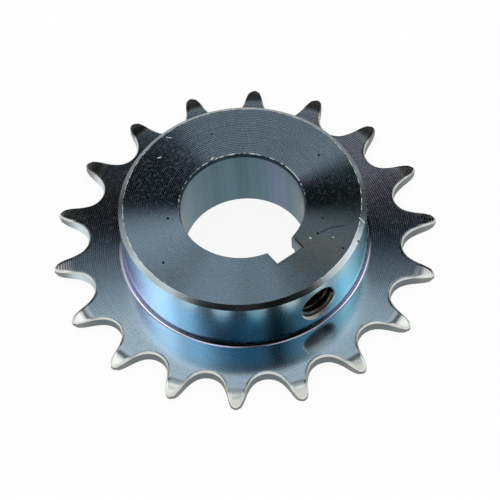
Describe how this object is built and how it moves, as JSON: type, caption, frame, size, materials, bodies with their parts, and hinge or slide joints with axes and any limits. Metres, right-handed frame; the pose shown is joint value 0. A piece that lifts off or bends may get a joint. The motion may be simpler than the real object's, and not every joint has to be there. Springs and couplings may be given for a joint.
{
  "type": "chain sprocket",
  "caption": "Flat toothed chain sprocket with a hub on one side, a keyed bore and a set screw hole, in bright plated steel.",
  "frame": {"origin": "centre of the bore in the flat back face of the plate", "axes": "+Z along the bore's axis, from the back face towards the hub's end face; -Y towards the keyway and the set screw hole, with the middle of one tooth on it"},
  "size_m": [0.0786, 0.0796, 0.016],
  "materials": {
    "plated_steel": "bright zinc plating over fine turning marks"
  },
  "bodies": {
    "root": {"sprocket": "plated_steel"}
  },
  "joints": []
}
